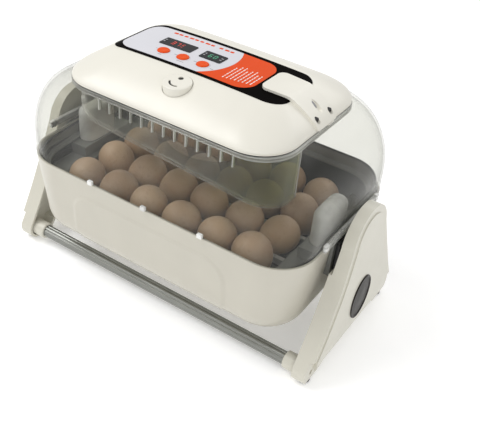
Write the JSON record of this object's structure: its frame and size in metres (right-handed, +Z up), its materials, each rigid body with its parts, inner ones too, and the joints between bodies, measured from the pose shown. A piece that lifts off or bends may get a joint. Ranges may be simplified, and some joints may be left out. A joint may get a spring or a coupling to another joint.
{
  "type": "egg incubator",
  "caption": "Cabinet egg incubator: a cream tub with a clear dome and a control unit on top, hung between two arched end stands that rock it about a lengthwise axis to turn the eggs.",
  "frame": {"origin": "on the floor, under the middle of the cradle (bottom centre of the bounding box)", "axes": "+X along the tilt axis towards the air and power connections, -Y towards the user, +Z up"},
  "size_m": [0.421, 0.231, 0.274],
  "materials": {
    "cream_shell": "satin moulded, fine grain",
    "tub_cream": "satin moulded",
    "rod_metal": "anodised, fluted",
    "foot_rubber": "matte",
    "badge_dark": "gloss",
    "black_plastic": "matte",
    "frame_grey": "satin",
    "liner_grey": "satin",
    "insert_grey": "satin",
    "hump_grey": "satin translucent",
    "tray_grey": "satin",
    "divider_clear": "frosted",
    "cover_clear": "clear polycarbonate",
    "guide_clear": "clear, yellow-green tint",
    "label_print": "printed polyester film",
    "display_black": "gloss filter window",
    "button_orange": "satin",
    "board_green": "solder mask",
    "motor_steel": "satin",
    "heater_steel": "satin",
    "gear_nylon": "natural nylon",
    "bush_bronze": "sintered"
  },
  "bodies": {
    "stand": {"stand_right": "cream_shell", "stand_left": "cream_shell", "stand_inner_cover_right": "cream_shell", "bearing_bush_right": "bush_bronze", "bearing_bush_left": "bush_bronze", "badge_right": "badge_dark", "badge_left": "badge_dark", "cross_rod_front": "rod_metal", "cross_rod_rear": "rod_metal", "rod_collar_front_right": "cream_shell", "rod_collar_front_left": "cream_shell", "rod_collar_rear_right": "cream_shell", "rod_collar_rear_left": "cream_shell", "foot_front_right": "foot_rubber", "foot_front_left": "foot_rubber", "foot_rear_right": "foot_rubber", "foot_rear_left": "foot_rubber", "turning_motor": "motor_steel"},
    "pinion": {"drive_pinion": "gear_nylon"},
    "incubator": {"tub": "tub_cream", "liner": "liner_grey", "egg_bed": "tray_grey", "row_divider_1": "divider_clear", "row_divider_2": "divider_clear", "row_divider_3": "divider_clear", "end_insert_right": "insert_grey", "end_insert_left": "insert_grey", "end_hump_right": "hump_grey", "end_hump_left": "hump_grey", "pivot_block_right": "black_plastic", "pivot_block_left": "black_plastic", "pivot_frame_right": "frame_grey", "pivot_frame_left": "frame_grey", "pivot_pin_right": "motor_steel", "pivot_pin_left": "motor_steel", "drive_gear": "gear_nylon"},
    "cover": {"dome": "cover_clear", "end_clip_right": "cover_clear", "end_clip_left": "cover_clear"},
    "control_unit": {"unit_housing": "cream_shell", "unit_base": "frame_grey", "air_guide": "guide_clear", "label_panel": "label_print", "temperature_display": "display_black", "humidity_display": "display_black", "circuit_board": "board_green", "hood": "cream_shell", "air_nozzle": "black_plastic", "power_socket": "black_plastic", "unit_latch": "cream_shell", "fan_motor": "motor_steel", "heater_ring": "heater_steel", "sensor_probe": "black_plastic"},
    "fan": {"fan": "liner_grey"},
    "vent_knob": {"vent_knob": "cream_shell"},
    "left_button": {"button_1": "button_orange"},
    "middle_button": {"button_2": "button_orange"},
    "right_button": {"button_3": "button_orange"}
  },
  "joints": [
    {"name": "incubator_tilt", "type": "hinge", "parent": "stand", "child": "incubator", "pos_m": [0, 0, 0.126], "axis": [1, 0, 0], "range_deg": [-45, 45]},
    {"name": "pinion_spin", "type": "hinge", "parent": "stand", "child": "pinion", "pos_m": [0, 0, 0.1017], "axis": [1, 0, 0], "range_deg": [-136, 136]},
    {"name": "cover_lift", "type": "slide", "parent": "incubator", "child": "cover", "axis": [0, 0, 1], "range_m": [0, 0.16]},
    {"name": "control_unit_lift", "type": "slide", "parent": "cover", "child": "control_unit", "axis": [0, 0, 1], "range_m": [0, 0.1]},
    {"name": "fan_spin", "type": "hinge", "parent": "control_unit", "child": "fan", "pos_m": [0, 0, 0.231], "axis": [0, 0, 1], "continuous": true},
    {"name": "vent_knob_turn", "type": "hinge", "parent": "control_unit", "child": "vent_knob", "pos_m": [0.0005, -0.061, 0.2607], "axis": [0, -0.1045, 0.9945], "range_deg": [0, 90]},
    {"name": "left_button_press", "type": "slide", "parent": "control_unit", "child": "left_button", "axis": [0, 0, -1], "range_m": [0, 0.001], "stiffness_N_per_m": 500},
    {"name": "middle_button_press", "type": "slide", "parent": "control_unit", "child": "middle_button", "axis": [0, 0, -1], "range_m": [0, 0.001], "stiffness_N_per_m": 500},
    {"name": "right_button_press", "type": "slide", "parent": "control_unit", "child": "right_button", "axis": [0, 0, -1], "range_m": [0, 0.001], "stiffness_N_per_m": 500}
  ],
  "couplings": [
    {"joint": "pinion_spin", "follows": "incubator_tilt", "ratio": -3}
  ]
}
